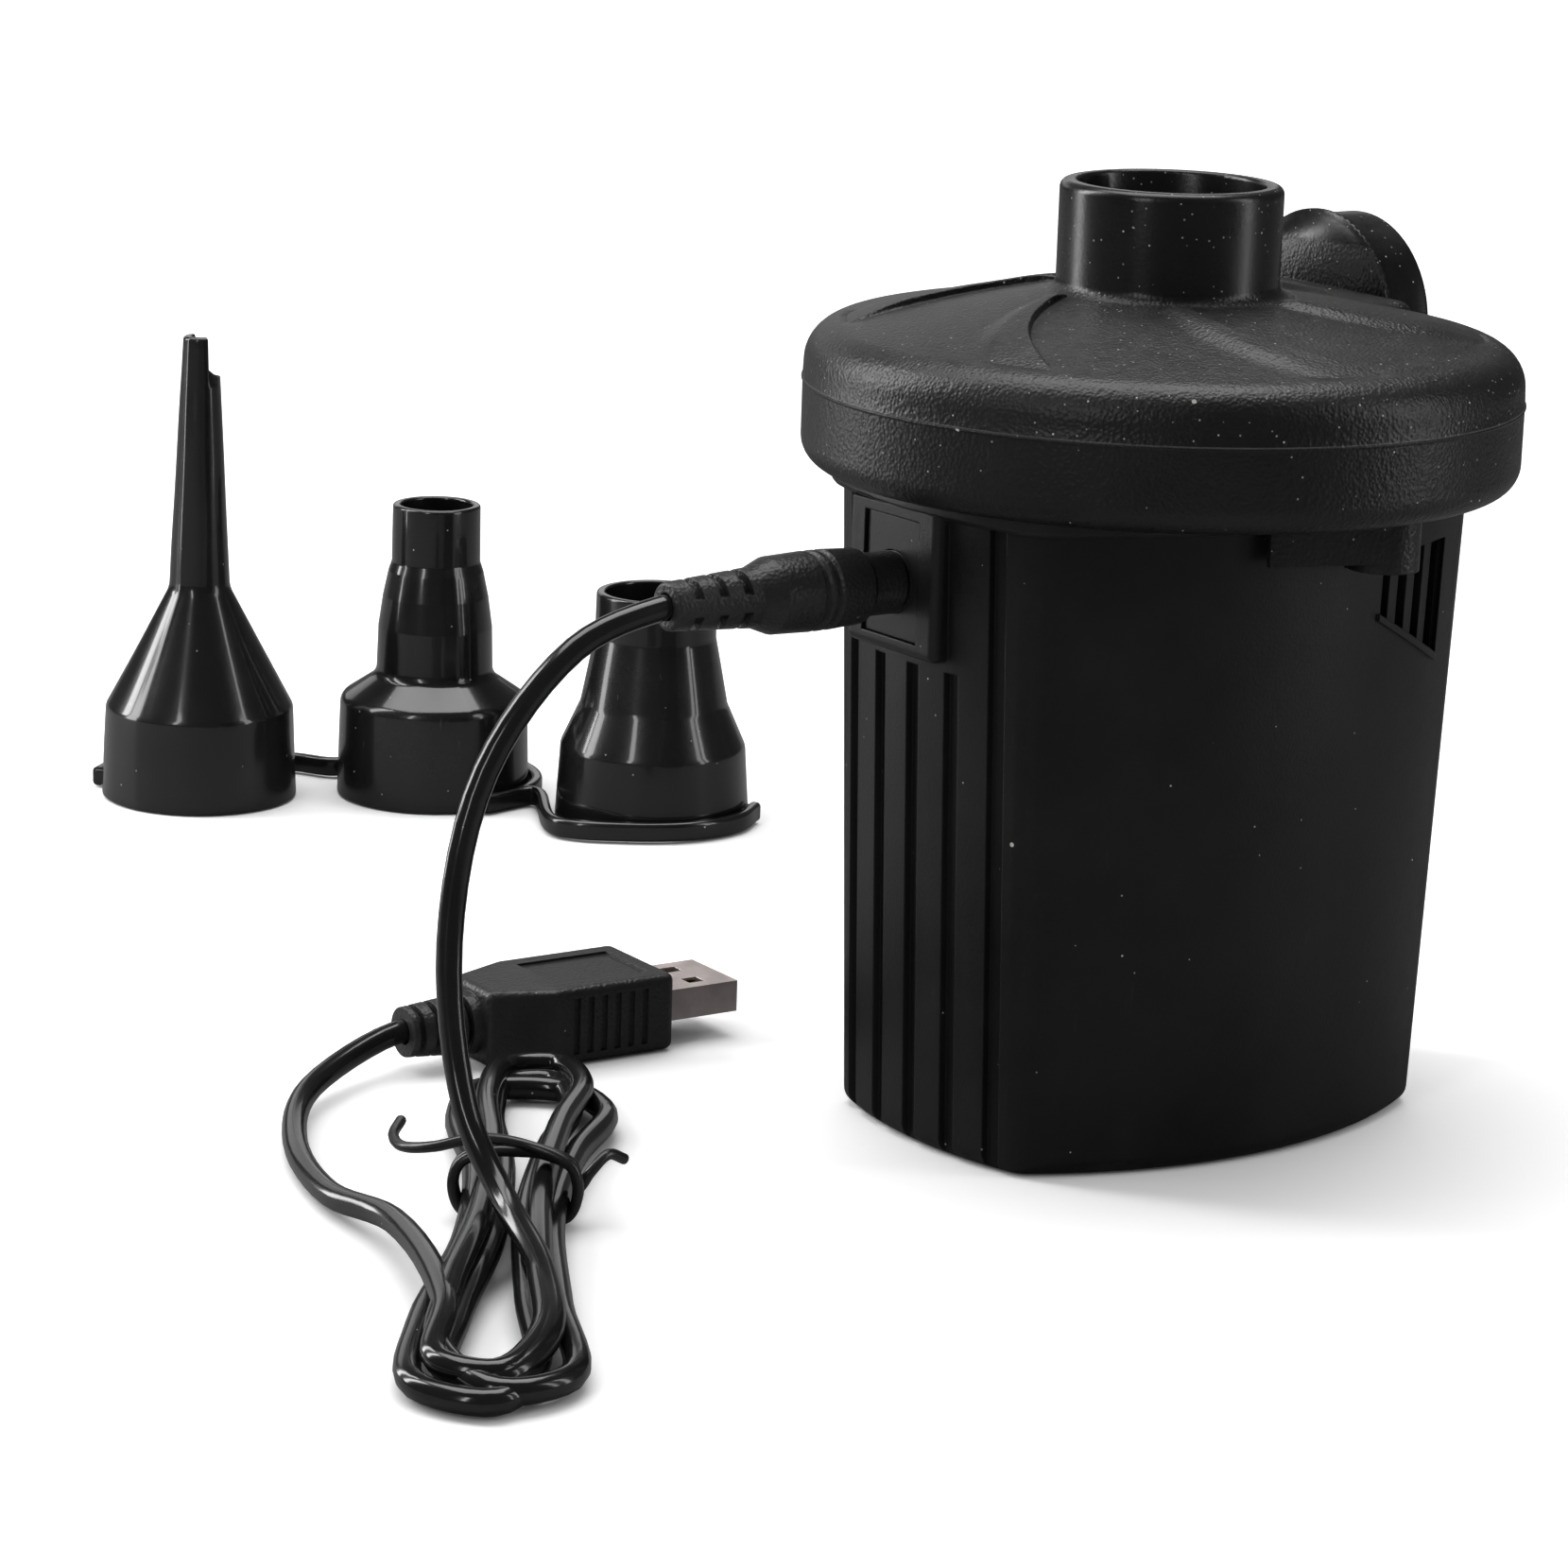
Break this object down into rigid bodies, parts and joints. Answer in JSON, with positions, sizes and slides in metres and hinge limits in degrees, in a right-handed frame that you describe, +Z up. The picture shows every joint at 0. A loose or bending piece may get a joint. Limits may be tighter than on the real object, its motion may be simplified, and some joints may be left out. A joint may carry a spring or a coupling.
{
  "type": "electric air pump",
  "caption": "Round-headed electric air pump with inlet and outlet spigots, a side socket, a lead with a barrel plug and a flat plug, and a tethered set of push-on nozzles.",
  "frame": {"origin": "centre of the flat base, on the axis shared by the fan, the motor and the inlet spigot", "axes": "+Z up along the fan axis; -X the side with the power socket; +X the side with the rocker switch and the way the outlet spigot points"},
  "size_m": [0.2029, 0.2901, 0.1257],
  "materials": {
    "pump_body": "satin moulded shell",
    "head_base": "fine pebble grain",
    "head_cover": "fine pebble grain, smooth spigots",
    "panel": "fine matte",
    "impeller": "satin",
    "motor_steel": "plated",
    "shaft_steel": "ground",
    "laminations": "laminated",
    "copper": "enamelled copper",
    "bearing_bronze": "sintered",
    "magnet": "ferrite",
    "carbon": "graphite",
    "motor_plastic": "nylon",
    "screw_steel": "plated",
    "jack_plastic": "matte",
    "contact_metal": "plated",
    "rocker": "gloss",
    "wire_red": "pvc",
    "wire_black": "pvc",
    "lead_jacket": "soft sheen",
    "plug_mould": "fine texture",
    "tie": "coated wire",
    "usb_steel": "plated steel",
    "usb_insulator": "matte",
    "gold": "gold plated",
    "nozzle": "soft moulded, low gloss"
  },
  "bodies": {
    "housing": {"body_shell": "pump_body", "volute_base": "head_base", "top_cover": "head_cover", "jack_panel": "panel", "switch_panel": "panel", "motor_can": "motor_steel", "motor_end_cap": "motor_plastic", "motor_front_bearing": "bearing_bronze", "motor_rear_bearing": "bearing_bronze", "motor_magnets": "magnet", "magnet_clip": "motor_steel", "motor_brushes": "carbon", "motor_terminals": "contact_metal", "motor_screws": "screw_steel", "cover_screws": "screw_steel", "body_screws": "screw_steel", "dc_jack_housing": "jack_plastic", "dc_jack_pin": "contact_metal", "dc_jack_terminals": "contact_metal", "switch_housing": "jack_plastic", "switch_terminals": "contact_metal", "wire_supply": "wire_red", "wire_return": "wire_black", "wire_switched": "wire_red"},
    "rotor": {"motor_shaft": "shaft_steel", "armature_core": "laminations", "armature_windings": "copper", "commutator": "copper", "impeller": "impeller"},
    "rocker": {"switch_rocker": "rocker"},
    "lead": {"dc_plug_mould": "plug_mould", "dc_plug_barrel": "contact_metal", "dc_plug_core": "jack_plastic", "usb_cable": "lead_jacket", "twist_tie": "tie", "usb_plug_mould": "plug_mould", "usb_shell": "usb_steel", "usb_tongue": "usb_insulator", "usb_contacts": "gold"},
    "nozzle_set": {"needle_adapter": "nozzle", "medium_adapter": "nozzle", "large_adapter": "nozzle", "adapter_tether": "nozzle"}
  },
  "joints": [
    {"name": "rotor_spin", "type": "hinge", "parent": "housing", "child": "rotor", "pos_m": [0, 0, 0.072], "axis": [0, 0, 1], "continuous": true},
    {"name": "switch_rock", "type": "hinge", "parent": "housing", "child": "rocker", "pos_m": [0.0384, -0.00275, 0.0763], "axis": [0, 1, 0], "range_deg": [0, 16], "stiffness_Nm_per_rad": 0.0004},
    {"name": "plug_pull", "type": "slide", "parent": "housing", "child": "lead", "axis": [-1, 0, 0], "range_m": [0, 0.014]},
    {"name": "adapter_lift", "type": "slide", "parent": "housing", "child": "nozzle_set", "axis": [0, 0, 1], "range_m": [0, 0.06]}
  ]
}
